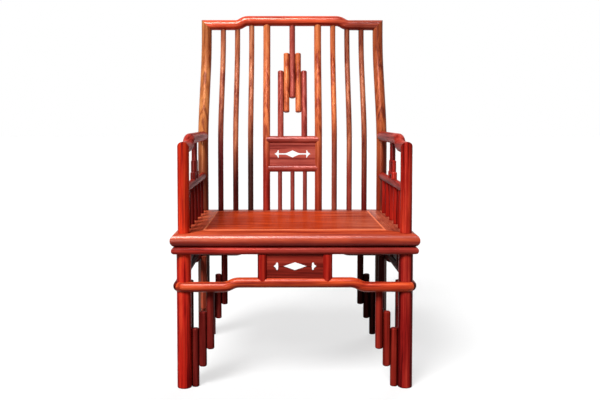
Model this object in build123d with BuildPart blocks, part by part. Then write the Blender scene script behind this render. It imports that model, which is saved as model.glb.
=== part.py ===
from build123d import *
from collections import defaultdict
from math import radians, sqrt, tan
import os

# Low, wide armchair of the official's hat type, made of round bars.
# The origin is on the floor under the middle of the chair. X points to the
# right as seen from the front, Y to the back and Z up. Sizes are millimetres.

# Plan
leg_spacing_x = 620.0          # between the leg axes, side to side
leg_spacing_y = 530.0          # between the leg axes, front to back
crest_half_width = 303.5       # from the middle to the axis of a post at the crest
back_lean = 80.0               # from the rear leg axis back to the crest axis
stile_x = 90.2                 # from the middle to a stile of the splat

# Heights above the floor, of axes unless said otherwise
seat_bottom_z = 399.5          # underside of the seat rails
arm_rear_z = 694.0             # arm at the rear post
arm_rail_drop = 137.0          # from the arm's rear down to the rail below it
back_curve_drop = 54.0         # from the arm's rear down to the start of the back's curve
crest_end_z = 1086.0           # crest rail at its corners
stretcher_end_z = 287.0        # stretchers at the legs

# Round bars
leg_diameter = 40.5            # legs below the seat
post_diameter = 36.0           # rear posts above the seat and crest rail
arm_diameter = 33.0            # arms and front posts above the seat
arm_rail_diameter = 24.0
stile_diameter = 25.5
splat_rail_diameter = 25.0
slat_diameter = 19.0
splat_slat_diameter = 15.0
strut_diameter = 27.0
stretcher_diameter = 28.5
leg_pipe_diameter = 21.8
leg_pipe_pitch = 21.3          # under the diameter, so that the pipes meet on flats
splat_pipe_diameter = 21.0
splat_pipe_pitch = 20.5
arm_pipe_diameter = 17.8
arm_pipe_pitch = 17.4
foot_rounding = 2.5
pipe_rounding = 4.5            # free ends of the pipes

# Curves
bend_share = 0.245             # part of an S taken by each of its two easings; 0.25 is the most
back_bend_share = 0.17
crest_neck = 18.0              # straight top of the back below the crest axis
crest_rise = 14.5              # raised middle of the crest rail
crest_rise_start = 101.5       # from the crest's corner to the foot of its S
crest_rise_run = 46.0
arm_drop = 20.5                # from the rear of an arm down to its front
arm_drop_start = 85.0          # from the front post to the foot of the arm's S
arm_drop_run = 65.0
hump_rise = 12.5               # raised middle of a stretcher
hump_start = 108.0             # from the leg axis to the foot of the stretcher's S
hump_run = 48.0
stretcher_corner_radius = 18.0

# Seat frame
seat_overhang = 34.5           # seat edge beyond the leg axes
seat_rail_width = 83.0
seat_rail_thickness = 36.2
seat_panel_rise = 1.5          # seat panel above the rails
seat_panel_thickness = 11.0
seat_groove_depth = 8.0
seat_tongue_thickness = 5.0
panel_edge_chamfer = 1.4
batten_x = 110.0
batten_width = 26.0
batten_height = 15.0
mitre_tenon_length = 9.0       # into the side rail
mitre_tenon_width = 24.0
mitre_tenon_thickness = 10.0
mitre_tenon_inset = 42.0       # from the leg axis along the mitre
edge_strip_overhang = 31.5     # strip beyond the leg axes
edge_strip_width = 29.5
edge_strip_height = 20.3
bullnose_flat = 1.0            # left flat between the two roundings of an edge

# Stretchers, struts and aprons
stretcher_offset = 16.0        # stretcher axis outside the leg axes
side_strut_y = 72.0            # from the middle of a side to a strut
apron_thickness = 11.0
apron_let_in = 4.0             # panel edges into the bars round them
apron_margin = 16.0            # from the strut to the tip of the piercing
apron_lozenge_share = 0.57     # lozenge half length in the half length of the piercing
apron_arrow_share = 0.74       # where the arrow starts
apron_bar_share = 0.82         # middle of the arrow's cross bar
apron_piercing_z = 345.0
apron_lozenge_half_height = 12.0
apron_bar_width = 5.5
apron_notch_half_height = 2.5  # inner side of the arrow
apron_arrow_half_height = 6.5
engraving_depth = 1.5
engraving_width = 1.6
engraving_overlap = 4.0        # engraved line into the lozenge and the arrow

# Splat
splat_rail_drop = 12.0         # upper rail below the arm's rear
splat_rail_pitch = 100.0       # between the axes of the two rails
splat_slat_x = 43.3
splat_panel_thickness = 12.0
splat_piercing_half_length = 62.4
splat_arrow_length = 14.6
splat_arrow_half_height = 13.0
splat_barb_width = 2.5         # at the points of the arrow's barbs
splat_barb_root = (6.0, 6.0)   # hollow of the arrow: from its inner side, from the axis
splat_slit_half_height = 2.4
splat_lozenge_half_length = 23.0
splat_lozenge_half_height = 12.5
splat_lozenge_easing = 26.0    # radius between the lozenge and the slit
splat_center_pipe_drop = 274.0     # from the crest's axis to the pipe's end
splat_hanging_pipe_start = 114.0   # below the crest's axis
splat_hanging_pipe_drop = 324.0
splat_standing_pipe_rise = 240.7   # above the upper rail's axis

# Slats and pipes
back_slats_per_side = 3
slats_per_arm = 5
arm_center_pipe_drop = 96.0    # from the arm's axis to the pipe's end
arm_middle_pipe_start = 69.0   # below the arm's axis
arm_middle_pipe_drop = 116.0
arm_outer_pipe_rise = 33.0     # above the axis of the rail below the arm
leg_pipe_shift = 7.0           # pipes behind the leg axes, towards the inside
leg_pipe_bite = 0.3            # first pipe scribed to the leg
first_pipe_top_z = 166.0
second_pipe_bottom_z = 57.0
second_pipe_top_z = 213.0
third_pipe_bottom_z = 106.5

# Tenons
tenon_length = 10.0
tenon_shoulder = 3.0           # between a bar's surface and its tenon
stretcher_tenon_diameter = 10.0
stretcher_tenon_length = 8.0
stretcher_tenon_offset = 8.0   # tenon axis outside the leg axes
arm_tenon_diameter = 16.0      # rear end of an arm
corner_tenon_diameter = 14.0
corner_tenon_rise = 8.0        # above the axis of the bar that it enters

# Worked out from the sizes above
seat_top_z = seat_bottom_z + seat_rail_thickness
edge_strip_bottom_z = seat_bottom_z - edge_strip_height
arm_rail_z = arm_rear_z - arm_rail_drop
back_curve_start_z = arm_rear_z - back_curve_drop
arm_front_z = arm_rear_z - arm_drop
crest_middle_z = crest_end_z + crest_rise
stretcher_middle_z = stretcher_end_z + hump_rise
splat_upper_rail_z = arm_rear_z - splat_rail_drop
splat_lower_rail_z = splat_upper_rail_z - splat_rail_pitch
leg_x = leg_spacing_x / 2
depth = seat_overhang + leg_spacing_y + back_lean + post_diameter / 2
front_y = seat_overhang - depth / 2
rear_y = front_y + leg_spacing_y
middle_y = (front_y + rear_y) / 2
crest_y = rear_y + back_lean
back_curve_end_z = crest_end_z - crest_neck
leg_radius = leg_diameter / 2
post_radius = post_diameter / 2
arm_radius = arm_diameter / 2
UP = Vector(0, 0, 1)
BACK = Vector(0, 1, 0)
ACROSS = Vector(1, 0, 0)
hands = {"left": -1, "right": 1}

os.makedirs("parts", exist_ok=True)

# Mortises to cut: for each node that receives, the tenons that enter it
tenons = defaultdict(list)


def save(piece, node):
    """Name a finished piece and write it."""
    piece.part.label = node
    export_step(piece.part, f"parts/{node}.step")


def s_bend(start, end, along, share):
    """Corners and bend radius of an S that leaves and arrives in one direction."""
    easing = (end - start).dot(along) * share
    low_corner = start + along * easing
    high_corner = end - along * easing
    turn = along.get_angle(high_corner - low_corner)
    return [low_corner, high_corner], abs(easing) / tan(radians(turn) / 2)


def rounded_tip(diameter, rounding):
    """The last bit of a bar with its rim rounded over, standing on the XY plane."""
    radius = diameter / 2
    with BuildPart() as tip:
        with BuildSketch(Plane.XZ):
            with BuildLine():
                Line((0, 0), (radius, 0))
                JernArc(start=(radius, 0), tangent=(0, 1), radius=rounding, arc_size=90)
                Polyline((radius - rounding, rounding), (0, rounding), (0, 0))
            make_face()
        revolve(axis=Axis.Z)
    return tip.part


def rod(axis, diameter, start_rounding=0, end_rounding=0):
    """A round bar along a line, with the rims of its ends rounded where asked."""
    length = axis.length
    core = axis.trim(start_rounding / length, 1 - end_rounding / length)
    with BuildPart() as bar:
        with BuildSketch(Plane(core @ 0, z_dir=core % 0)):
            Circle(diameter / 2)
        sweep(path=core)
        if start_rounding:
            with Locations(Plane(core @ 0, z_dir=-(core % 0))):
                add(rounded_tip(diameter, start_rounding))
        if end_rounding:
            with Locations(Plane(core @ 1, z_dir=core % 1)):
                add(rounded_tip(diameter, end_rounding))
    return bar.part


def upright(x, y, z_low, z_high):
    """A vertical axis."""
    with BuildLine():
        axis = Line((x, y, z_low), (x, y, z_high))
    return axis


def level(x, y_ends, z):
    """A level axis from front to back."""
    with BuildLine():
        axis = Line((x, y_ends[0], z), (x, y_ends[1], z))
    return axis


def crosswise(reach, y, z):
    """A level axis from side to side, as long to the left as to the right."""
    with BuildLine():
        axis = Line((-reach, y, z), (reach, y, z))
    return axis


def back_axis(x_low, x_high, z_low, z_high):
    """The S line that every upright bar of the back follows, between two heights."""
    foot = Vector(x_low, rear_y, back_curve_start_z)
    head = Vector(x_high, crest_y, back_curve_end_z)
    corners, radius = s_bend(foot, head, UP, back_bend_share)
    below = Vector(x_low, rear_y, 0)
    above = Vector(x_high, crest_y, crest_middle_z + post_diameter)
    with BuildLine():
        line = FilletPolyline(below, *corners, above, radius=radius)
    ends = [line.intersect(Plane.XY.offset(z)).vertices()[0].center() for z in (z_low, z_high)]
    return line.trim(*ends)


def ramp(position, start, run, low, high):
    """Height of a bar that rises from low to high along a run."""
    share = min(max((position - start) / run, 0), 1)
    return low + (high - low) * share


def crest_z(x):
    """Height of the crest rail's axis."""
    return ramp(crest_half_width - abs(x), crest_rise_start, crest_rise_run, crest_end_z, crest_middle_z)


def even_places(first_edge, last_edge, count, diameter):
    """Centres of bars that divide a clear space into equal gaps."""
    gap = (last_edge - first_edge - count * diameter) / (count + 1)
    return [first_edge + gap + diameter / 2 + n * (gap + diameter) for n in range(count)]


class Side:
    """One side of the square frame, along the line between two leg axes."""

    def __init__(self, middle, outward, half_run):
        self.middle = Vector(middle)
        self.outward = Vector(outward)
        self.along = UP.cross(self.outward)
        self.half_run = half_run

    def at(self, along, outward, z):
        """A point by its place along the side, outside the leg line and above the floor."""
        return self.middle + self.along * along + self.outward * outward + UP * z

    def mitre(self, end):
        """The upright plane through a leg axis in which this side meets the next."""
        return Plane(self.at(end * self.half_run, 0, 0), z_dir=self.along * end - self.outward)

    def section(self):
        """The plane of a section: first axis outward, second axis up."""
        return Plane(self.middle, x_dir=self.outward, z_dir=self.outward.cross(UP))

    def elevation(self, outward):
        """The plane of a board: first axis along the side, second axis up."""
        return Plane(self.at(0, outward, 0), x_dir=self.along, z_dir=self.outward)

    def stretcher_z(self, along):
        """Height of the stretcher's axis."""
        from_leg = self.half_run - abs(along)
        return ramp(from_leg, hump_start, hump_run, stretcher_end_z, stretcher_middle_z)


sides = {
    "front": Side((0, front_y, 0), (0, -1, 0), leg_x),
    "rear": Side((0, rear_y, 0), (0, 1, 0), leg_x),
    "left": Side((-leg_x, middle_y, 0), (-1, 0, 0), leg_spacing_y / 2),
    "right": Side((leg_x, middle_y, 0), (1, 0, 0), leg_spacing_y / 2),
}
strut_places = {"front": stile_x, "rear": stile_x, "left": side_strut_y, "right": side_strut_y}


# ---------------------------------------------------------------- bars before their mortises


def leg_blank(x, y, axis, diameter):
    """A leg that stands on the floor and goes on as a thinner post."""
    with BuildPart() as blank:
        add(rod(upright(x, y, 0, seat_bottom_z), leg_diameter, foot_rounding))
        add(rod(axis, diameter))
    return blank.part


def front_leg_blank(x):
    """A front leg, mitred to the arm at its top."""
    axis = upright(x, front_y, seat_bottom_z, arm_front_z + arm_diameter)
    with BuildPart() as blank:
        add(leg_blank(x, front_y, axis, arm_diameter))
        split(bisect_by=Plane((x, front_y, arm_front_z), z_dir=UP + BACK), keep=Keep.BOTTOM)
        add(corner_tenon(x, front_y, arm_front_z))
    return blank.part


def rear_leg_blank(x, hand):
    """A rear leg, mitred to the crest rail at its top."""
    x_top = hand * crest_half_width
    axis = back_axis(x, x_top, seat_bottom_z, crest_end_z + post_diameter)
    with BuildPart() as blank:
        add(leg_blank(x, rear_y, axis, post_diameter))
        split(bisect_by=crest_mitre(hand), keep=Keep.TOP)
        add(corner_tenon(x_top, crest_y, crest_end_z))
    return blank.part


def corner_tenon(x, y, z):
    """The tenon of a post that crosses the mitre at its top."""
    return rod(upright(x, y, z - corner_tenon_diameter, z + corner_tenon_rise), corner_tenon_diameter)


def crest_mitre(hand):
    """The plane in which the crest rail meets a rear post: rail below it, post above it."""
    return Plane((hand * crest_half_width, crest_y, crest_end_z), z_dir=ACROSS * hand - UP)


def crest_blank():
    """The crest rail with its raised middle."""
    rise_start = crest_half_width - crest_rise_start
    rise_end = rise_start - crest_rise_run
    left_foot = Vector(-rise_start, crest_y, crest_end_z)
    left_head = Vector(-rise_end, crest_y, crest_middle_z)
    rise, radius = s_bend(left_foot, left_head, ACROSS, bend_share)
    fall = [Vector(-corner.X, corner.Y, corner.Z) for corner in reversed(rise)]
    reach = crest_half_width + post_diameter
    ends = [Vector(-reach, crest_y, crest_end_z), Vector(reach, crest_y, crest_end_z)]
    axis = FilletPolyline(ends[0], *rise, *fall, ends[1], radius=radius)
    with BuildPart() as blank:
        add(rod(axis, post_diameter))
        for hand in hands.values():
            split(bisect_by=crest_mitre(hand), keep=Keep.BOTTOM)
    return blank.part


def arm_blank(x):
    """An arm: level, an S down, level again to its mitre with the front post."""
    drop_foot = Vector(x, front_y + arm_drop_start, arm_front_z)
    drop_head = drop_foot + BACK * arm_drop_run + UP * (arm_rear_z - arm_front_z)
    corners, radius = s_bend(drop_foot, drop_head, BACK, bend_share)
    front_end = Vector(x, front_y - arm_diameter, arm_front_z)
    rear_end = Vector(x, rear_y, arm_rear_z)
    axis = FilletPolyline(front_end, *corners, rear_end, radius=radius)
    with BuildPart() as blank:
        add(rod(axis, arm_diameter))
        split(bisect_by=Plane((x, front_y, arm_front_z), z_dir=UP + BACK), keep=Keep.TOP)
    return blank.part


def mitred_strip(side, profile):
    """A strip of one section along a side, mitred to its neighbours."""
    with BuildPart() as blank:
        with BuildSketch(side.section()):
            add(profile)
        extrude(amount=side.half_run + seat_overhang, both=True)
        for end in (-1, 1):
            split(bisect_by=side.mitre(end), keep=Keep.BOTTOM)
    return blank.part


def bullnose_profile(overhang, width, bottom, top):
    """A rectangle with its outer edge rounded over; first axis outward, second axis up."""
    rounding = min((top - bottom - bullnose_flat) / 2, width / 2)
    with BuildSketch() as profile:
        with Locations((overhang, bottom)):
            Rectangle(width, top - bottom, align=(Align.MAX, Align.MIN))
        fillet(profile.vertices().group_by(Axis.X)[-1], rounding)
    return profile.sketch


def stretcher_blank(side):
    """A stretcher that wraps round the legs, with a raised middle."""
    reach = side.half_run + stretcher_offset
    tail = stretcher_offset - 2 * stretcher_corner_radius
    foot_place = hump_start - side.half_run
    foot = side.at(foot_place, stretcher_offset, stretcher_end_z)
    head = side.at(foot_place + hump_run, stretcher_offset, stretcher_middle_z)
    rise, radius = s_bend(foot, head, side.along, bend_share)
    half = [
        side.at(-reach, tail, stretcher_end_z),
        side.at(-reach, stretcher_offset, stretcher_end_z),
        *rise,
    ]
    mirror_plane = Plane(side.middle, z_dir=side.along)
    other_half = [Vertex(*point).mirror(mirror_plane).center() for point in reversed(half)]
    bends = [stretcher_corner_radius, radius, radius, radius, radius, stretcher_corner_radius]
    axis = FilletPolyline(*half, *other_half, radius=bends)
    with BuildPart() as blank:
        add(rod(axis, stretcher_diameter))
        for end in (-1, 1):
            split(bisect_by=side.mitre(end), keep=Keep.BOTTOM)
    return blank.part


front_leg_blanks = {name: front_leg_blank(hand * leg_x) for name, hand in hands.items()}
rear_leg_blanks = {name: rear_leg_blank(hand * leg_x, hand) for name, hand in hands.items()}
leg_blanks = [*front_leg_blanks.values(), *rear_leg_blanks.values()]
crest_bar = crest_blank()
arm_bars = {name: arm_blank(hand * leg_x) for name, hand in hands.items()}
arm_rail_bars = {
    name: rod(level(hand * leg_x, (front_y, rear_y), arm_rail_z), arm_rail_diameter)
    for name, hand in hands.items()
}
stretcher_bars = {name: stretcher_blank(side) for name, side in sides.items()}


# ---------------------------------------------------------------- back


def back_bar(node, x_low, x_high, diameter):
    """An upright from the rear seat rail to the crest rail, tenoned into both."""
    crest_bottom = crest_z(x_high) - post_radius
    core_axis = back_axis(x_low, x_high, seat_top_z - tenon_length, crest_bottom + tenon_length)
    core = rod(core_axis, diameter - 2 * tenon_shoulder)
    tenons["seat_rear_rail"].append(core)
    tenons["crest_rail"].append(core)
    with BuildPart() as bar:
        add(rod(back_axis(x_low, x_high, seat_top_z, crest_z(x_high)), diameter))
        add(crest_bar, mode=Mode.SUBTRACT)
        add(core)
        add(tenons[node], mode=Mode.SUBTRACT)
    return bar


stile_edge = stile_x + stile_diameter / 2
slat_feet = even_places(stile_edge, leg_x - post_radius, back_slats_per_side, slat_diameter)
slat_heads = even_places(stile_edge, crest_half_width - post_radius, back_slats_per_side, slat_diameter)
for name, hand in hands.items():
    for number, (foot, head) in enumerate(zip(slat_feet, slat_heads), 1):
        back_slat = back_bar(f"{name}_back_slat_{number}", hand * foot, hand * head, slat_diameter)
        save(back_slat, f"{name}_back_slat_{number}")

# Splat: two rails between the stiles, a pierced panel between the rails
splat_rails = {"splat_upper_rail": splat_upper_rail_z, "splat_lower_rail": splat_lower_rail_z}
splat_rail_bars = {
    node: rod(crosswise(stile_x, rear_y, z), splat_rail_diameter)
    for node, z in splat_rails.items()
}
stile_bars = [
    rod(back_axis(hand * stile_x, hand * stile_x, seat_top_z, arm_rear_z), stile_diameter)
    for hand in hands.values()
]

# Half of the panel's piercing: a lozenge with hollow sides, a slit and an arrow head
with BuildSketch() as splat_piercing:
    with BuildLine():
        slit_end = splat_piercing_half_length - splat_arrow_length
        lozenge_top = (0, splat_lozenge_half_height)
        slit_corner = (slit_end, splat_slit_half_height)
        FilletPolyline(
            lozenge_top,
            (splat_lozenge_half_length, splat_slit_half_height),
            slit_corner,
            radius=splat_lozenge_easing,
        )
        Polyline(
            slit_corner,
            (slit_end, splat_arrow_half_height),
            (slit_end + splat_barb_width, splat_arrow_half_height),
            (slit_end + splat_barb_root[0], splat_barb_root[1]),
            (splat_piercing_half_length, 0),
            (0, 0),
            lozenge_top,
        )
    make_face()
    mirror(about=Plane.XZ)
    mirror(about=Plane.YZ)

splat_panel_half_width = stile_x - stile_diameter / 2 + apron_let_in
splat_rail_inset = splat_rail_diameter / 2 - apron_let_in
with BuildPart() as splat_panel:
    with BuildSketch(Plane((0, rear_y, 0), x_dir=ACROSS, z_dir=-BACK)):
        with Locations((0, (splat_upper_rail_z + splat_lower_rail_z) / 2)):
            Rectangle(
                2 * splat_panel_half_width,
                splat_upper_rail_z - splat_lower_rail_z - 2 * splat_rail_inset,
            )
            add(splat_piercing.sketch, mode=Mode.SUBTRACT)
    extrude(amount=splat_panel_thickness / 2, both=True)
for node in ("splat_upper_rail", "splat_lower_rail", "left_stile", "right_stile"):
    tenons[node].append(splat_panel.part)
save(splat_panel, "splat_panel")

# Short slats below the panel
with BuildPart() as splat_slats:
    for x in (-splat_slat_x, 0, splat_slat_x):
        rail_bottom = splat_lower_rail_z - splat_rail_diameter / 2
        core_ends = (seat_top_z - tenon_length, rail_bottom + tenon_length)
        core = rod(upright(x, rear_y, *core_ends), splat_slat_diameter - 2 * tenon_shoulder)
        tenons["seat_rear_rail"].append(core)
        tenons["splat_lower_rail"].append(core)
        add(rod(upright(x, rear_y, seat_top_z, splat_lower_rail_z), splat_slat_diameter))
        add(splat_rail_bars["splat_lower_rail"], mode=Mode.SUBTRACT)
        add(core)
save(splat_slats, "splat_slats")


def flattened(pipe, centre, direction, pitch, neighbours):
    """A pipe with a flat towards each neighbour, at half the pitch."""
    with BuildPart() as flat_pipe:
        add(pipe)
        for way in neighbours:
            towards = direction * way
            split(bisect_by=Plane(centre + towards * (pitch / 2), z_dir=towards), keep=Keep.BOTTOM)
    return flat_pipe.part


def splat_pipe(place, z_low, z_high, low_rounding, high_rounding, neighbours):
    """A pipe of the splat, counted in pitches from the middle."""
    x = place * splat_pipe_pitch
    pipe = rod(back_axis(x, x, z_low, z_high), splat_pipe_diameter, low_rounding, high_rounding)
    return flattened(pipe, Vector(x, rear_y, 0), ACROSS, splat_pipe_pitch, neighbours)


splat_pipe_tenon = splat_pipe_diameter - 2 * tenon_shoulder
center_bottom = crest_middle_z - post_radius
center_core_axis = back_axis(0, 0, center_bottom - tenon_length, center_bottom + tenon_length)
center_core = rod(center_core_axis, splat_pipe_tenon)
tenons["crest_rail"].append(center_core)
with BuildPart() as splat_center_pipe:
    heights = (crest_middle_z - splat_center_pipe_drop, crest_middle_z)
    add(splat_pipe(0, *heights, pipe_rounding, 0, (-1, 1)))
    add(crest_bar, mode=Mode.SUBTRACT)
    add(center_core)
save(splat_center_pipe, "splat_center_pipe")

with BuildPart() as splat_hanging_pipes:
    for hand in hands.values():
        heights = (crest_middle_z - splat_hanging_pipe_drop, crest_middle_z - splat_hanging_pipe_start)
        add(splat_pipe(hand, *heights, pipe_rounding, pipe_rounding, (-1, 1)))
save(splat_hanging_pipes, "splat_hanging_pipes")

with BuildPart() as splat_standing_pipes:
    rail_top = splat_upper_rail_z + splat_rail_diameter / 2
    for hand in hands.values():
        x = 2 * hand * splat_pipe_pitch
        core = rod(upright(x, rear_y, rail_top - tenon_length, rail_top + tenon_shoulder), splat_pipe_tenon)
        tenons["splat_upper_rail"].append(core)
        heights = (splat_upper_rail_z, splat_upper_rail_z + splat_standing_pipe_rise)
        add(splat_pipe(2 * hand, *heights, 0, pipe_rounding, (-hand,)))
        add(splat_rail_bars["splat_upper_rail"], mode=Mode.SUBTRACT)
        add(core)
save(splat_standing_pipes, "splat_standing_pipes")

for node, z in splat_rails.items():
    core_reach = stile_x - stile_diameter / 2 + tenon_length
    core = rod(crosswise(core_reach, rear_y, z), splat_rail_diameter - 2 * tenon_shoulder)
    tenons["left_stile"].append(core)
    tenons["right_stile"].append(core)
    with BuildPart() as splat_rail:
        add(splat_rail_bars[node])
        add(stile_bars, mode=Mode.SUBTRACT)
        add(core)
        add(tenons[node], mode=Mode.SUBTRACT)
    save(splat_rail, node)

for name, hand in hands.items():
    stile = back_bar(f"{name}_stile", hand * stile_x, hand * stile_x, stile_diameter)
    save(stile, f"{name}_stile")

# ---------------------------------------------------------------- arms

for name, hand in hands.items():
    x = hand * leg_x
    rail_bottom = arm_rail_z - arm_rail_diameter / 2
    rail_top = arm_rail_z + arm_rail_diameter / 2
    seat_node = f"seat_{name}_rail"
    rail_node = f"{name}_arm_rail"
    arm_node = f"{name}_arm"

    with BuildPart() as side_slats:
        for number in range(1, slats_per_arm + 1):
            y = front_y + number * leg_spacing_y / (slats_per_arm + 1)
            core_axis = upright(x, y, seat_top_z - tenon_length, rail_bottom + tenon_length)
            core = rod(core_axis, slat_diameter - 2 * tenon_shoulder)
            tenons[seat_node].append(core)
            tenons[rail_node].append(core)
            add(rod(upright(x, y, seat_top_z, arm_rail_z), slat_diameter))
            add(arm_rail_bars[name], mode=Mode.SUBTRACT)
            add(core)
    save(side_slats, f"{name}_side_slats")

    # One pipe hangs from the arm, two float beside it and two stand on the rail
    arm_bottom = arm_rear_z - arm_radius
    pipe_tenon = arm_pipe_diameter - 2 * tenon_shoulder
    with BuildPart() as arm_pipes:
        for place in (-2, -1, 0, 1, 2):
            y = middle_y + place * arm_pipe_pitch
            if place == 0:
                axis = upright(x, y, arm_rear_z - arm_center_pipe_drop, arm_rear_z)
                pipe = rod(axis, arm_pipe_diameter, pipe_rounding)
                neighbours = (-1, 1)
            elif abs(place) == 1:
                axis = upright(x, y, arm_rear_z - arm_middle_pipe_drop, arm_rear_z - arm_middle_pipe_start)
                pipe = rod(axis, arm_pipe_diameter, pipe_rounding, pipe_rounding)
                neighbours = (-1, 1)
            else:
                axis = upright(x, y, arm_rail_z, arm_rail_z + arm_outer_pipe_rise)
                pipe = rod(axis, arm_pipe_diameter, 0, pipe_rounding)
                neighbours = (-place / abs(place),)
            add(flattened(pipe, Vector(x, y, 0), BACK, arm_pipe_pitch, neighbours))
        add(arm_bars[name], mode=Mode.SUBTRACT)
        add(arm_rail_bars[name], mode=Mode.SUBTRACT)
        core_ends = (arm_bottom - tenon_length, arm_bottom + tenon_length)
        hanging_core = rod(upright(x, middle_y, *core_ends), pipe_tenon)
        tenons[arm_node].append(hanging_core)
        add(hanging_core)
        for place in (-2, 2):
            y = middle_y + place * arm_pipe_pitch
            core_ends = (rail_top - tenon_length, rail_top + tenon_shoulder)
            standing_core = rod(upright(x, y, *core_ends), pipe_tenon)
            tenons[rail_node].append(standing_core)
            add(standing_core)
    save(arm_pipes, f"{name}_arm_pipes")

    front_end = front_y + arm_radius - tenon_length
    rear_end = rear_y - post_radius + tenon_length
    rail_core_axis = level(x, (front_end, rear_end), arm_rail_z)
    rail_core = rod(rail_core_axis, arm_rail_diameter - 2 * tenon_shoulder)
    tenons[f"front_{name}_leg"].append(rail_core)
    tenons[f"rear_{name}_leg"].append(rail_core)
    with BuildPart() as arm_rail:
        add(arm_rail_bars[name])
        add([front_leg_blanks[name], rear_leg_blanks[name]], mode=Mode.SUBTRACT)
        add(rail_core)
        add(tenons[rail_node], mode=Mode.SUBTRACT)
    save(arm_rail, rail_node)

    arm_core = rod(level(x, (rear_y - post_diameter, rear_end), arm_rear_z), arm_tenon_diameter)
    tenons[f"rear_{name}_leg"].append(arm_core)
    with BuildPart() as arm:
        add(arm_bars[name])
        add(rear_leg_blanks[name], mode=Mode.SUBTRACT)
        add(corner_tenon(x, front_y, arm_front_z), mode=Mode.SUBTRACT)
        add(arm_core)
        add(tenons[arm_node], mode=Mode.SUBTRACT)
    save(arm, arm_node)

# The crest rail takes the back's uprights and the corner tenons of the rear posts
for hand in hands.values():
    tenons["crest_rail"].append(corner_tenon(hand * crest_half_width, crest_y, crest_end_z))
with BuildPart() as crest_rail:
    add(crest_bar)
    add(tenons["crest_rail"], mode=Mode.SUBTRACT)
save(crest_rail, "crest_rail")

# ---------------------------------------------------------------- seat

# Floating panel, its tongue at the underside
seat_clear_x = leg_spacing_x + 2 * seat_overhang - 2 * seat_rail_width
seat_clear_y = leg_spacing_y + 2 * seat_overhang - 2 * seat_rail_width
panel_top_z = seat_top_z + seat_panel_rise
panel_bottom_z = panel_top_z - seat_panel_thickness
with BuildPart() as seat_panel:
    with BuildSketch(Plane((0, middle_y, panel_bottom_z))):
        Rectangle(seat_clear_x, seat_clear_y)
    extrude(amount=seat_panel_thickness)
    chamfer(seat_panel.faces().sort_by(Axis.Z)[-1].edges(), panel_edge_chamfer)
    with BuildSketch(Plane((0, middle_y, panel_bottom_z))):
        Rectangle(seat_clear_x + 2 * seat_groove_depth, seat_clear_y + 2 * seat_groove_depth)
    extrude(amount=seat_tongue_thickness)
save(seat_panel, "seat_panel")

with BuildPart() as seat_battens:
    for x in (-batten_x, batten_x):
        with Locations((x, middle_y, panel_bottom_z)):
            Box(
                batten_width,
                seat_clear_y + 2 * seat_groove_depth,
                batten_height,
                align=(Align.CENTER, Align.CENTER, Align.MAX),
            )
save(seat_battens, "seat_battens")

# Hidden tenons of the front and rear rails that cross the mitres into the side rails
mitre_tenons = {}
for name in ("front", "rear"):
    side = sides[name]
    with BuildPart() as rail_tenons:
        for end in (-1, 1):
            inset = mitre_tenon_inset / sqrt(2)
            centre = side.at(end * (side.half_run - inset), -inset, (seat_bottom_z + panel_bottom_z) / 2)
            with Locations(Plane(centre, x_dir=side.mitre(end).z_dir, z_dir=UP)):
                Box(2 * mitre_tenon_length, mitre_tenon_width, mitre_tenon_thickness)
    mitre_tenons[name] = rail_tenons.part

seat_profile = bullnose_profile(seat_overhang, seat_rail_width, seat_bottom_z, seat_top_z)
for name, side in sides.items():
    with BuildPart() as seat_rail:
        add(mitred_strip(side, seat_profile))
        if name in mitre_tenons:
            add(mitre_tenons[name])
        else:
            add(list(mitre_tenons.values()), mode=Mode.SUBTRACT)
        add([seat_panel.part, seat_battens.part], mode=Mode.SUBTRACT)
        add(leg_blanks, mode=Mode.SUBTRACT)
        add(tenons[f"seat_{name}_rail"], mode=Mode.SUBTRACT)
    save(seat_rail, f"seat_{name}_rail")

# ---------------------------------------------------------------- below the seat


def apron_piercing(half_length):
    """Half of an apron's piercing: a lozenge, and an arrow with a cross bar."""
    lozenge_end = half_length * apron_lozenge_share
    arrow_start = half_length * apron_arrow_share
    bar_place = half_length * apron_bar_share
    bar_start = bar_place - apron_bar_width / 2
    bar_end = bar_place + apron_bar_width / 2
    bar_shoulder = apron_lozenge_half_height - apron_bar_width / 2
    with BuildSketch() as piercing:
        with BuildLine():
            Polyline((0, 0), (lozenge_end, 0), (0, apron_lozenge_half_height), close=True)
        make_face()
        with BuildLine():
            Polyline(
                (arrow_start, 0),
                (bar_start, apron_notch_half_height),
                (bar_start, bar_shoulder),
                (bar_place, apron_lozenge_half_height),
                (bar_end, bar_shoulder),
                (bar_end, apron_arrow_half_height),
                (half_length, 0),
                close=True,
            )
        make_face()
        mirror(about=Plane.XZ)
        mirror(about=Plane.YZ)
    return piercing.sketch


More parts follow.
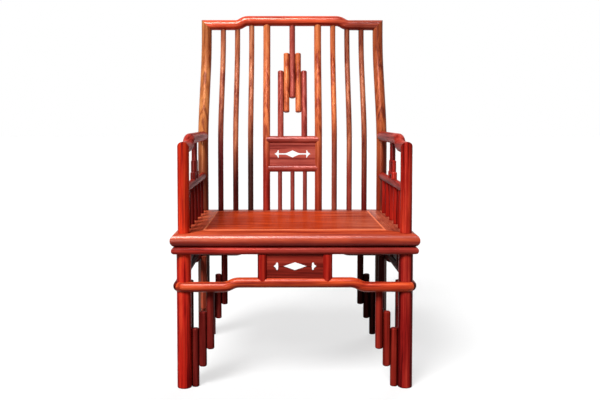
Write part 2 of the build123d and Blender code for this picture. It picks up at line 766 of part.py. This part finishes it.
edge_profile = bullnose_profile(edge_strip_overhang, edge_strip_width, edge_strip_bottom_z, seat_bottom_z)
for name, side in sides.items():
    place = strut_places[name]
    strip_node = f"edge_strip_{name}"
    stretcher_node = f"stretcher_{name}"

    strut_cores = []
    axis_z = side.stretcher_z(place)
    stretcher_top = axis_z + stretcher_diameter / 2
    with BuildPart() as struts:
        for hand in hands.values():
            foot = side.at(hand * place, stretcher_offset, 0)
            add(rod(upright(foot.X, foot.Y, axis_z, edge_strip_bottom_z), strut_diameter))
            core_ends = (stretcher_top - tenon_length, edge_strip_bottom_z + tenon_length)
            strut_cores.append(rod(upright(foot.X, foot.Y, *core_ends), strut_diameter - 2 * tenon_shoulder))
        add(stretcher_bars[name], mode=Mode.SUBTRACT)
        add(strut_cores)
    tenons[strip_node] += strut_cores
    tenons[stretcher_node] += strut_cores

    panel_reach = place - strut_diameter / 2 + apron_let_in
    panel_low = stretcher_top - apron_let_in
    panel_high = edge_strip_bottom_z + apron_let_in
    piercing_reach = place - strut_diameter / 2 - apron_margin
    with BuildPart() as apron:
        with BuildSketch(side.elevation(stretcher_offset)):
            with Locations((0, panel_low)):
                Rectangle(2 * panel_reach, panel_high - panel_low, align=(Align.CENTER, Align.MIN))
            with Locations((0, apron_piercing_z)):
                add(apron_piercing(piercing_reach), mode=Mode.SUBTRACT)
        extrude(amount=apron_thickness / 2, both=True)
        engraving_start = piercing_reach * apron_lozenge_share - engraving_overlap
        engraving_end = piercing_reach * apron_arrow_share + engraving_overlap
        with BuildSketch(side.elevation(stretcher_offset + apron_thickness / 2)):
            for hand in hands.values():
                with Locations((hand * (engraving_start + engraving_end) / 2, apron_piercing_z)):
                    Rectangle(engraving_end - engraving_start, engraving_width)
        extrude(amount=-engraving_depth, mode=Mode.SUBTRACT)
    save(apron, f"apron_{name}")
    tenons[strip_node].append(apron.part)
    tenons[stretcher_node].append(apron.part)

    with BuildPart() as apron_struts:
        add(struts.part)
        add(apron.part, mode=Mode.SUBTRACT)
    save(apron_struts, f"apron_struts_{name}")

    with BuildPart() as edge_strip:
        add(mitred_strip(side, edge_profile))
        add(leg_blanks, mode=Mode.SUBTRACT)
        add(tenons[strip_node], mode=Mode.SUBTRACT)
    save(edge_strip, strip_node)

    # Stub tenons enter the legs beside the wrapped corners
    stub_cores = []
    leg_entry = sqrt(leg_radius**2 - stretcher_tenon_offset**2)
    for end in (-1, 1):
        stub_start = side.half_run - leg_entry + stretcher_tenon_length
        stub_end = side.half_run - leg_diameter
        stub_axis = Line(
            side.at(end * stub_start, stretcher_tenon_offset, stretcher_end_z),
            side.at(end * stub_end, stretcher_tenon_offset, stretcher_end_z),
        )
        stub_cores.append(rod(stub_axis, stretcher_tenon_diameter))
    with BuildPart() as stretcher:
        add(stretcher_bars[name])
        add(leg_blanks, mode=Mode.SUBTRACT)
        add(stub_cores)
        add(tenons[stretcher_node], mode=Mode.SUBTRACT)
    save(stretcher, stretcher_node)
    if name in ("front", "rear"):
        tenons[f"{name}_left_leg"].append(stub_cores[0 if name == "front" else 1])
        tenons[f"{name}_right_leg"].append(stub_cores[1 if name == "front" else 0])
    else:
        tenons[f"front_{name}_leg"].append(stub_cores[0 if name == "right" else 1])
        tenons[f"rear_{name}_leg"].append(stub_cores[1 if name == "right" else 0])

# Stepped pipes beside each leg: the first on the floor, the third scribed to the stretcher
contact = leg_radius + leg_pipe_diameter / 2 - leg_pipe_bite
first_pipe_place = sqrt(contact**2 - leg_pipe_shift**2)
pipe_spans = [
    (0, first_pipe_top_z, (foot_rounding, pipe_rounding), (1,)),
    (second_pipe_bottom_z, second_pipe_top_z, (pipe_rounding, pipe_rounding), (-1, 1)),
    (third_pipe_bottom_z, stretcher_end_z, (pipe_rounding, 0), (-1,)),
]
for side_name, side in sides.items():
    for end in (-1, 1):
        inward = side.along * -end
        leg_foot = side.at(end * side.half_run, 0, 0)
        row = "front" if leg_foot.Y < middle_y else "rear"
        column = "left" if leg_foot.X < 0 else "right"
        leg = (front_leg_blanks if row == "front" else rear_leg_blanks)[column]
        with BuildPart() as leg_pipes:
            for number, (low, high, roundings, neighbours) in enumerate(pipe_spans):
                place = first_pipe_place + number * leg_pipe_pitch
                centre = leg_foot + inward * place - side.outward * leg_pipe_shift
                pipe = rod(upright(centre.X, centre.Y, low, high), leg_pipe_diameter, *roundings)
                add(flattened(pipe, centre, inward, leg_pipe_pitch, neighbours))
            add([leg, stretcher_bars[side_name]], mode=Mode.SUBTRACT)
        plane_name = side_name if side_name in ("front", "rear") else "side"
        save(leg_pipes, f"{row}_{column}_pipes_{plane_name}")

# ---------------------------------------------------------------- legs

for name in hands:
    for row, blanks in (("front", front_leg_blanks), ("rear", rear_leg_blanks)):
        with BuildPart() as leg:
            add(blanks[name])
            add(tenons[f"{row}_{name}_leg"], mode=Mode.SUBTRACT)
        save(leg, f"{row}_{name}_leg")
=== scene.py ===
import bpy
from math import cos, pi, radians, sin
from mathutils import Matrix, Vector

# A low rosewood armchair of round bars, as it stands in a white studio.
# Lengths are metres. X points to the right seen from the front, Y to the back, Z up.

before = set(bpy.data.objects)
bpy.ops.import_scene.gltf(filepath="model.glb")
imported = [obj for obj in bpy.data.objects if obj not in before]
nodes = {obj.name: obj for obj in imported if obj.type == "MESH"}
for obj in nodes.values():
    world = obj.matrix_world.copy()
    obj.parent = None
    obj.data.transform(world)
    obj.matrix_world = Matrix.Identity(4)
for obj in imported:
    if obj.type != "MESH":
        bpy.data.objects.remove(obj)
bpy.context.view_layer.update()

# ---------------------------------------------------------------- driving values

# Camera, for a picture of 600 by 400
lens_mm = 45.27
sensor_mm = 36.0
camera_place = (-0.0339, -2.388, 0.7512)
camera_pitch = 2.87            # degrees below the horizon
camera_yaw = 0.39              # degrees to the right
camera_shift = (0.0202, -0.071)

# Lamps; an azimuth is in degrees from the front, and negative to the left
sun_distance = 3.0
key_azimuth = -29.0
key_elevation = 47.0
key_strength = 4.3
key_angle = 24.0               # degrees across
back_azimuth = 160.0           # of a weak lamp that shows the back
back_elevation = 32.0
back_strength = 1.5
back_angle = 40.0
soft_box_azimuth = -18.0       # of the two soft boxes, which only show in the polish
soft_box_distance = 4.0
soft_box_aim = 0.6             # height of the point that they face
high_box_elevation = 55.0
high_box_size = (2.0, 1.9)
high_box_level = 56.0          # brightness; white is 1
low_box_elevation = 2.0
low_box_size = (0.6, 1.6)
low_box_level = 20.0
world_light = 0.11             # level of the world for diffuse light; white is 1

# Floor
floor_colour = 0.30            # how strongly the floor shows light and shadow
floor_bounce = 0.16            # share of the light that the floor throws back at the chair
floor_glow = 0.66              # lifts the lit floor to white
floor_reach = 30.0
white = (1.0, 1.0, 1.0, 1.0)

# Patterns in the wood, as noise: repeats a metre across the grain and along it
broad_noise = dict(across=62.0, lengthwise=1.9, detail=4.0, distortion=0.6)
fine_noise = dict(across=260.0, lengthwise=6.0, detail=4.0, roughness=0.6)
vein_noise = dict(across=95.0, lengthwise=0.9, detail=3.0, distortion=0.5)
pore_noise = dict(across=1500.0, lengthwise=55.0, detail=1.0)
cloud_noise = dict(across=26.0, lengthwise=7.0, detail=2.0)
burl_noise = dict(across=240.0, lengthwise=130.0, detail=2.0, distortion=1.6)
piece_shift = (3.17, 1.73, 2.41)   # of the patterns from one piece to the next, in repeats

# Values of a pattern, from 0 to 1, between which one colour turns into the next
dark_end = 0.48
dark_spread = 0.16
light_band = (0.50, 0.68)
pore_band = (0.60, 0.70)
fleck_band = (0.52, 0.62)
cloud_band = (0.40, 0.62)
polish_band = (0.3, 0.7)

# Strength of the patterns
fine_share = 0.55
vein_width = 0.018
vein_share = 0.55
pore_share = 0.30
pore_depth = 0.5               # beside the fine pattern's height
cloud_tint = (0.78, 0.66, 0.68)
bump_strength = 0.25
bump_height = 0.0003

# Painted shade in crevices, where ambient occlusion finds them
crevice_reach = 0.012
crevice_band = (0.15, 0.80)    # how open the place is, from 0 to 1
crevice_shade_tint = (0.22, 0.14, 0.12)

# Places at which a piece's tints and its painted shade end
seat_underside = (0.36, 0.43)  # heights between which the painted shade under the seat ends
low_wave = 0.10                # how far the edge of the painted lower shading or of a left tint wanders
left_wave = 0.20
downward_band = (-0.40, 0.45)  # how far down a face looks, from -1 for up to 1 for down, for the painted shade on faces that look down
upward_band = (0.86, 0.98)     # how far up it looks

# Painted highlight along the edge of the seat board
board_half_width = 0.2615
board_front = -0.24825
edge_line = (0.0048, 0.008)    # distances from the edge between which it ends
edge_share = 0.8
edge_highlight_colour = (240, 132, 92)

# Polish
ior = 1.17
full_specular = 0.5            # the shader's own level
chatoyance = 0.04              # share of the light that the fibres under the polish mirror


def colour(red, green, blue):
    """A display colour from 0 to 255 as the linear colour that shaders take."""
    channels = [channel / 255 for channel in (red, green, blue)]
    linear = [c / 12.92 if c <= 0.04045 else ((c + 0.055) / 1.055) ** 2.4 for c in channels]
    return (*linear, 1.0)


# ---------------------------------------------------------------- node helpers


class Tree:
    """Adds nodes to a shader tree; a value is a number, a colour or another node's output."""

    def __init__(self, tree):
        self.nodes = tree.nodes
        self.links = tree.links

    def add(self, kind, inputs=(), **settings):
        node = self.nodes.new(kind)
        for name, value in settings.items():
            setattr(node, name, value)
        for name, value in dict(inputs).items():
            self.put(node.inputs[name], value)
        return node

    def put(self, socket, value):
        if isinstance(value, bpy.types.NodeSocket):
            self.links.new(value, socket)
        else:
            socket.default_value = value

    def math(self, operation, *values):
        return self.add("ShaderNodeMath", enumerate(values), operation=operation).outputs[0]

    def parts(self, vector):
        """The three parts of a vector, by axis name."""
        return self.add("ShaderNodeSeparateXYZ", {"Vector": vector}).outputs

    def after(self, value, band):
        """0 before a band of values, 1 after it and smooth between them."""
        inputs = {"Value": value, "From Min": band[0], "From Max": band[1]}
        node = self.add("ShaderNodeMapRange", inputs, interpolation_type="SMOOTHSTEP")
        return node.outputs["Result"]

    def before(self, value, band):
        """1 before a band of values, 0 after it and smooth between them."""
        return self.math("SUBTRACT", 1.0, self.after(value, band))

    def mix(self, share, first, second, blend="MIX"):
        node = self.add("ShaderNodeMix", data_type="RGBA", blend_type=blend)
        self.put(node.inputs[0], share)
        self.put(node.inputs[6], first)
        self.put(node.inputs[7], second)
        return node.outputs[2]

    def tint(self, share, shade, factors):
        """A share of a colour multiplied by a factor for each channel."""
        return self.mix(share, shade, self.mix(1.0, shade, (*factors, 1.0), "MULTIPLY"))


# ---------------------------------------------------------------- rosewood


def rosewood(name, seed, wood, grain, figured=1.0, streaks=0.5, flecks=0.0, lower_shading=None,
             fade=(0.62, 0.80), under_seat_shade=None, left=None, turn=(-0.10, 0.15), underside_shade=None,
             edge_highlight=False, worn_top=False, roughness=(0.24, 0.34), gloss=ior,
             fibres=chatoyance):
    """Polished rosewood with streaks, dark veins and pores along one axis.

    wood is its body colour, dark and light streaks, and grain the axis. figured says how
    sharply dark wood turns into the body colour; streaks and flecks say how strong the light
    ones are. lower_shading, under_seat_shade, left and underside_shade are tints, each a factor
    for red, green and blue: lower_shading ends between the heights fade and paints shade lower
    down, with darker wood on the back's bars and painted light on some pipes; under_seat_shade
    paints shade at the seat and below it; left ends between the places turn; and underside_shade
    paints shade on faces that look down. edge_highlight paints a highlight as a pale line along
    the seat board's edge, and worn_top takes the polish off faces that look up. roughness is
    that of light and of dark wood, gloss the polish's index of refraction, and fibres the share
    of light that the wood's fibres mirror.
    """
    body, dark, light = wood
    material = bpy.data.materials.new(name)
    material.use_nodes = True
    tree = Tree(material.node_tree)
    shader = tree.nodes["Principled BSDF"]
    place = tree.add("ShaderNodeTexCoord").outputs["Object"]
    spot = tree.parts(place)
    shift = tuple(seed * step for step in piece_shift)

    def pattern(across, lengthwise, detail, roughness=0.55, distortion=0.0):
        """Noise that is stretched along the grain."""
        repeats = tuple(lengthwise if axis == grain else across for axis in "XYZ")
        mapping = tree.add("ShaderNodeMapping", {"Vector": place, "Location": shift, "Scale": repeats})
        inputs = {"Vector": mapping.outputs[0], "Scale": 1.0, "Detail": detail}
        inputs |= {"Roughness": roughness, "Distortion": distortion}
        return tree.add("ShaderNodeTexNoise", inputs).outputs["Fac"]

    def before_wavy(value, band, wave):
        """1 before a band of places and 0 after it, with an edge that wanders with the figure."""
        value = tree.math("ADD", value, tree.math("MULTIPLY", broad, wave))
        return tree.before(value, (band[0] + wave / 2, band[1] + wave / 2))

    # Streaks, veins, pores and clouds
    broad = pattern(**broad_noise)
    fine = pattern(**fine_noise)
    detail = tree.math("MULTIPLY", tree.math("SUBTRACT", fine, 0.5), fine_share)
    figure = tree.math("ADD", broad, detail)
    spread = dark_spread / figured
    shade = tree.mix(tree.after(figure, (dark_end - spread, dark_end + spread / 4)), dark, body)
    shade = tree.mix(tree.math("MULTIPLY", tree.after(figure, light_band), streaks), shade, light)
    from_vein = tree.math("ABSOLUTE", tree.math("SUBTRACT", pattern(**vein_noise), 0.5))
    vein = tree.before(from_vein, (0.0, vein_width))
    shade = tree.mix(tree.math("MULTIPLY", vein, vein_share), shade, dark)
    pore = tree.after(pattern(**pore_noise), pore_band)
    shade = tree.mix(tree.math("MULTIPLY", pore, pore_share), shade, dark)
    if flecks:
        fleck = tree.after(pattern(**burl_noise), fleck_band)
        shade = tree.mix(tree.math("MULTIPLY", fleck, flecks), shade, light)
    shade = tree.tint(tree.before(pattern(**cloud_noise), cloud_band), shade, cloud_tint)

    # Tints by place; most are painted light and shade
    # Painted shade lower down, with darker wood on the back's bars; on some pipes painted light lower
    # down
    if lower_shading:
        shade = tree.tint(before_wavy(spot["Z"], fade, low_wave), shade, lower_shading)
    # Painted shade below the seat
    if under_seat_shade:
        shade = tree.tint(tree.before(spot["Z"], seat_underside), shade, under_seat_shade)
    if left:
        shade = tree.tint(before_wavy(spot["X"], turn, left_wave), shade, left)
    # Painted highlight: a pale line along the seat board's edge
    if edge_highlight:
        from_side = tree.math("SUBTRACT", board_half_width, tree.math("ABSOLUTE", spot["X"]))
        inward = tree.math("MINIMUM", from_side, tree.math("SUBTRACT", spot["Y"], board_front))
        line = tree.math("MULTIPLY", tree.before(inward, edge_line), edge_share)
        shade = tree.mix(line, shade, colour(*edge_highlight_colour))
    upward = tree.parts(tree.add("ShaderNodeNewGeometry").outputs["Normal"])["Z"]
    # Painted shade on faces that look down
    if underside_shade:
        downward = tree.math("MULTIPLY", upward, -1.0)
        shade = tree.tint(tree.after(downward, downward_band), shade, underside_shade)
    # Painted shade: darker in crevices and under pieces, where ambient occlusion finds them
    crevice = tree.add("ShaderNodeAmbientOcclusion", {"Distance": crevice_reach}, samples=4)
    shade = tree.tint(tree.before(crevice.outputs["AO"], crevice_band), shade, crevice_shade_tint)
    tree.put(shader.inputs["Base Color"], shade)

    # Polish and relief
    polish_inputs = {"Value": figure, "From Min": polish_band[0], "From Max": polish_band[1]}
    polish_inputs |= {"To Min": roughness[1], "To Max": roughness[0]}
    polish = tree.add("ShaderNodeMapRange", polish_inputs)
    tree.put(shader.inputs["Roughness"], polish.outputs["Result"])
    shader.inputs["IOR"].default_value = gloss
    shader.inputs["Metallic"].default_value = fibres
    if worn_top:
        polished = tree.math("MULTIPLY", tree.before(upward, upward_band), full_specular)
        tree.put(shader.inputs["Specular IOR Level"], polished)
    relief = tree.math("SUBTRACT", fine, tree.math("MULTIPLY", pore, pore_depth))
    bump_inputs = {"Height": relief, "Strength": bump_strength, "Distance": bump_height}
    bump = tree.add("ShaderNodeBump", bump_inputs)
    tree.put(shader.inputs["Normal"], bump.outputs["Normal"])
    return material


# Colours of the pieces: body, dark streaks, light streaks. shaded and maroon are darkened copies for
# pieces under and behind the seat: painted shade
orange_red = colour(226, 56, 30), colour(140, 20, 14), colour(244, 92, 46)
amber_red = colour(212, 74, 36), colour(152, 38, 20), colour(238, 112, 56)
red = colour(176, 36, 26), colour(98, 14, 12), colour(222, 72, 46)
dark_red = colour(142, 38, 28), colour(94, 18, 14), colour(180, 56, 42)
golden = colour(204, 122, 66), colour(142, 70, 36), colour(232, 160, 98)
brown_gold = colour(174, 84, 44), colour(112, 42, 24), colour(214, 126, 76)
salmon = colour(196, 116, 78), colour(134, 56, 36), colour(236, 156, 116)
warm_orange = colour(220, 118, 66), colour(158, 60, 32), colour(244, 152, 92)
crest_red = colour(164, 68, 46), colour(114, 34, 24), colour(202, 98, 70)
bullnose = colour(200, 80, 46), colour(152, 46, 28), colour(224, 112, 70)
arm_red = colour(176, 52, 40), colour(118, 26, 20), colour(210, 96, 78)
amber = colour(226, 124, 72), colour(160, 64, 36), colour(244, 154, 98)
tan = colour(172, 96, 64), colour(116, 46, 30), colour(214, 136, 100)
dusty = colour(152, 66, 56), colour(110, 34, 28), colour(184, 90, 78)
brick = colour(178, 78, 64), colour(126, 38, 30), colour(204, 110, 92)
rose = colour(150, 48, 40), colour(106, 24, 18), colour(184, 74, 60)
seat_orange = colour(186, 86, 58), colour(146, 54, 34), colour(208, 110, 78)
brown = colour(170, 74, 50), colour(120, 44, 30), colour(214, 130, 100)
apron_red = colour(150, 46, 34), colour(98, 24, 18), colour(180, 66, 50)
maroon = colour(112, 30, 26), colour(66, 12, 10), colour(148, 50, 42)
shaded = colour(94, 38, 33), colour(54, 18, 15), colour(122, 56, 48)

finish = {
    # The legs' lower tints are painted shade below the seat
    "front_left_leg": dict(grain="Z", wood=orange_red, lower_shading=(0.84, 0.62, 1.0), fade=(0.30, 0.44),
                           fibres=0.015, gloss=1.08, figured=1.4, streaks=0.7),
    "front_right_leg": dict(grain="Z", wood=red, lower_shading=(0.74, 0.76, 1.05), fade=(0.34, 0.46),
                            streaks=0.9, fibres=0.015, gloss=1.08, figured=1.8),
    "rear_left_leg": dict(grain="Z", wood=golden, lower_shading=(0.36, 0.28, 0.44), fade=(0.48, 0.72),
                          under_seat_shade=(0.42, 0.70, 0.95)),
    "rear_right_leg": dict(grain="Z", wood=brown_gold, lower_shading=(0.62, 0.36, 0.40),
                           fade=(0.50, 0.70), under_seat_shade=(0.35, 0.55, 0.7)),
    "crest_rail": dict(grain="X", wood=crest_red, gloss=1.23, fibres=0.02, left=(2.2, 1.6, 1.1),
                       turn=(0.10, 0.24), roughness=(0.16, 0.24)),
    # Back bars and stiles: darker wood and painted shade on their lower parts
    "left_back_slat_3": dict(grain="Z", wood=salmon, lower_shading=(0.28, 0.10, 0.22), fade=(0.62, 0.90)),
    "left_back_slat_2": dict(grain="Z", wood=salmon, lower_shading=(0.24, 0.11, 0.19), fade=(0.51, 0.73)),
    "left_back_slat_1": dict(grain="Z", wood=salmon, lower_shading=(0.10, 0.10, 0.16), fade=(0.59, 0.78)),
    "left_stile": dict(grain="Z", wood=amber, lower_shading=(0.64, 0.22, 0.36), fade=(0.54, 0.74)),
    "right_stile": dict(grain="Z", wood=warm_orange, lower_shading=(0.54, 0.28, 0.36), fade=(0.56, 0.76)),
    "right_back_slat_1": dict(grain="Z", wood=warm_orange, lower_shading=(0.36, 0.28, 0.50)),
    "right_back_slat_2": dict(grain="Z", wood=tan, lower_shading=(0.80, 0.44, 0.60), fade=(0.54, 0.70)),
    "right_back_slat_3": dict(grain="Z", wood=tan, lower_shading=(0.40, 0.12, 0.20), fade=(0.46, 0.76)),
    "splat_upper_rail": dict(grain="X", wood=brick, gloss=1.22, roughness=(0.20, 0.28)),
    "splat_lower_rail": dict(grain="X", wood=brick, gloss=1.22, roughness=(0.20, 0.28)),
    "splat_panel": dict(grain="X", wood=brick, roughness=(0.42, 0.52)),
    "splat_slats": dict(grain="Z", wood=dusty),
    "splat_center_pipe": dict(grain="Z", wood=brick),
    "splat_hanging_pipes": dict(grain="Z", wood=warm_orange),
    "splat_standing_pipes": dict(grain="Z", wood=brick),
    "left_arm": dict(grain="Y", wood=arm_red, fibres=0.015, gloss=1.05),
    "right_arm": dict(grain="Y", wood=arm_red, fibres=0.02, gloss=1.05),
    "left_arm_rail": dict(grain="Y", wood=dark_red, fibres=0.015, gloss=1.04),
    "right_arm_rail": dict(grain="Y", wood=arm_red, fibres=0.02, gloss=1.04),
    "left_side_slats": dict(grain="Z", wood=maroon, fibres=0.02, gloss=1.04),
    "right_side_slats": dict(grain="Z", wood=red, fibres=0.02, gloss=1.06),
    "left_arm_pipes": dict(grain="Z", wood=dark_red),
    "right_arm_pipes": dict(grain="Z", wood=red),
    # The left tint leaves the board's right part paler and greyer than its left: painted reflection
    "seat_panel": dict(grain="X", wood=seat_orange, left=(1.08, 0.62, 0.34), turn=(0.08, 0.20),
                       gloss=1.01, fibres=0.0, edge_highlight=True),
    # The bullnose is darker on faces that look down: painted shade
    "seat_front_rail": dict(grain="X", wood=bullnose, gloss=1.27, fibres=0.015, worn_top=True,
                            roughness=(0.26, 0.34), underside_shade=(0.50, 0.22, 0.30)),
    "seat_rear_rail": dict(grain="X", wood=brown, gloss=1.07),
    "seat_left_rail": dict(grain="Y", wood=brown, flecks=0.5, gloss=1.02, left=(1.4, 1.2, 1.0)),
    "seat_right_rail": dict(grain="Y", wood=brown, flecks=0.6, gloss=1.04),
    "seat_battens": dict(grain="Y", wood=brown, roughness=(0.5, 0.65)),
    "edge_strip_front": dict(grain="X", wood=rose, fibres=0.02, left=(1.5, 1.1, 1.0),
                             turn=(-0.22, 0.06), gloss=1.09),
    "edge_strip_rear": dict(grain="X", wood=shaded, gloss=1.07),
    "edge_strip_left": dict(grain="Y", wood=shaded, gloss=1.04),
    "edge_strip_right": dict(grain="Y", wood=shaded, gloss=1.04),
    "stretcher_front": dict(grain="X", wood=amber_red, fibres=0.025, gloss=1.17,
                            left=(1.0, 1.15, 1.1), turn=(0.0, 0.14), figured=1.6),
    "stretcher_rear": dict(grain="X", wood=shaded, gloss=1.07),
    "stretcher_left": dict(grain="Y", wood=maroon, fibres=0.015, gloss=1.02),
    "stretcher_right": dict(grain="Y", wood=shaded, fibres=0.015, gloss=1.02),
    "apron_front": dict(grain="X", wood=apron_red, fibres=0.02, gloss=1.10),
    "apron_rear": dict(grain="X", wood=shaded, gloss=1.07),
    "apron_left": dict(grain="Y", wood=shaded, gloss=1.04),
    "apron_right": dict(grain="Y", wood=shaded, gloss=1.04),
    "apron_struts_front": dict(grain="Z", wood=red, fibres=0.015, gloss=1.08),
    "apron_struts_rear": dict(grain="Z", wood=shaded, gloss=1.07),
    "apron_struts_left": dict(grain="Z", wood=shaded, gloss=1.04),
    "apron_struts_right": dict(grain="Z", wood=shaded, gloss=1.04),
    "front_left_pipes_front": dict(grain="Z", wood=maroon, fibres=0.02, gloss=1.07),
    "front_left_pipes_side": dict(grain="Z", wood=shaded, fibres=0.02, gloss=1.02),
    "front_right_pipes_front": dict(grain="Z", wood=dark_red, fibres=0.015, gloss=1.07),
    "front_right_pipes_side": dict(grain="Z", wood=maroon, fibres=0.015, gloss=1.02),
    # Shaded body, with painted light on the lower pipes
    "rear_left_pipes_rear": dict(grain="Z", wood=shaded, lower_shading=(2.6, 1.5, 1.6), fade=(0.24, 0.32),
                                 fibres=0.02, gloss=1.06),
    "rear_left_pipes_side": dict(grain="Z", wood=brown, fibres=0.02, gloss=1.07),
    "rear_right_pipes_rear": dict(grain="Z", wood=shaded, gloss=1.06),
    "rear_right_pipes_side": dict(grain="Z", wood=shaded, gloss=1.06),
}

for seed, (node, settings) in enumerate(finish.items(), 1):
    material = rosewood(f"{node}_wood", seed, **settings)
    for slot in nodes[node].material_slots:
        slot.material = material

# ---------------------------------------------------------------- floor, world and light


def seen_directly(tree):
    """1 for rays that show the background: the camera's, mirrored ones and those through glass."""
    path = tree.add("ShaderNodeLightPath").outputs
    mirrored = tree.math("MAXIMUM", path["Is Glossy Ray"], path["Is Transmission Ray"])
    return tree.math("MAXIMUM", path["Is Camera Ray"], mirrored)


def white_floor():
    """A pale floor that shows white where it is lit and keeps the chair's shadow."""
    material = bpy.data.materials.new("studio_floor")
    material.use_nodes = True
    tree = Tree(material.node_tree)
    shader = tree.nodes["Principled BSDF"]
    bounce, shown = ((level, level, level, 1.0) for level in (floor_bounce, floor_colour))
    tree.put(shader.inputs["Base Color"], tree.mix(seen_directly(tree), bounce, shown))
    shader.inputs["Roughness"].default_value = 1.0
    shader.inputs["Specular IOR Level"].default_value = 0.0
    shader.inputs["Emission Color"].default_value = white
    tree.put(shader.inputs["Emission Strength"], tree.math("MULTIPLY", seen_directly(tree), floor_glow))
    return material


corners = [(-floor_reach, -floor_reach, 0.0), (floor_reach, -floor_reach, 0.0)]
corners += [(floor_reach, floor_reach, 0.0), (-floor_reach, floor_reach, 0.0)]
floor_mesh = bpy.data.meshes.new("studio_floor")
floor_mesh.from_pydata(corners, [], [(0, 1, 2, 3)])
floor_mesh.materials.append(white_floor())
floor = bpy.data.objects.new("studio_floor", floor_mesh)
bpy.context.scene.collection.objects.link(floor)

world = bpy.data.worlds.new("studio")
world.use_nodes = True
bpy.context.scene.world = world
world_tree = Tree(world.node_tree)
background = world_tree.nodes["Background"]
background.inputs["Color"].default_value = white
level = world_tree.math("MAXIMUM", seen_directly(world_tree), world_light)
world_tree.put(background.inputs["Strength"], level)


def hang(name, light, azimuth, elevation, distance, aim=0.0):
    """Hangs a lamp that faces a point above the origin."""
    away, up = radians(azimuth), radians(elevation)
    towards_lamp = Vector((sin(away) * cos(up), -cos(away) * cos(up), sin(up)))
    lamp = bpy.data.objects.new(name, light)
    lamp.location = towards_lamp * distance + Vector((0.0, 0.0, aim))
    lamp.rotation_euler = towards_lamp.to_track_quat("Z", "Y").to_euler()
    bpy.context.scene.collection.objects.link(lamp)
    return lamp


def sun(name, azimuth, elevation, strength, angle):
    """A distant lamp that the polish doesn't mirror."""
    light = bpy.data.lights.new(name, "SUN")
    light.energy = strength
    light.angle = radians(angle)
    lamp = hang(name, light, azimuth, elevation, sun_distance)
    lamp.visible_glossy = False


def soft_box(name, elevation, size, level):
    """A bright card that only shows in the polish."""
    light = bpy.data.lights.new(name, "AREA")
    light.shape = "RECTANGLE"
    light.size, light.size_y = size
    light.energy = level * pi * size[0] * size[1]
    lamp = hang(name, light, soft_box_azimuth, elevation, soft_box_distance, soft_box_aim)
    lamp.visible_camera = False
    lamp.visible_diffuse = False


sun("key", key_azimuth, key_elevation, key_strength, key_angle)
sun("back", back_azimuth, back_elevation, back_strength, back_angle)
soft_box("soft_box", high_box_elevation, high_box_size, high_box_level)
soft_box("low_box", low_box_elevation, low_box_size, low_box_level)

# ---------------------------------------------------------------- camera

camera_data = bpy.data.cameras.new("camera")
camera_data.lens = lens_mm
camera_data.sensor_width = sensor_mm
camera_data.shift_x, camera_data.shift_y = camera_shift
camera = bpy.data.objects.new("camera", camera_data)
camera.location = camera_place
camera.rotation_euler = (radians(90 - camera_pitch), 0.0, radians(-camera_yaw))
bpy.context.scene.collection.objects.link(camera)
bpy.context.scene.camera = camera
bpy.context.scene.view_settings.view_transform = "Standard"
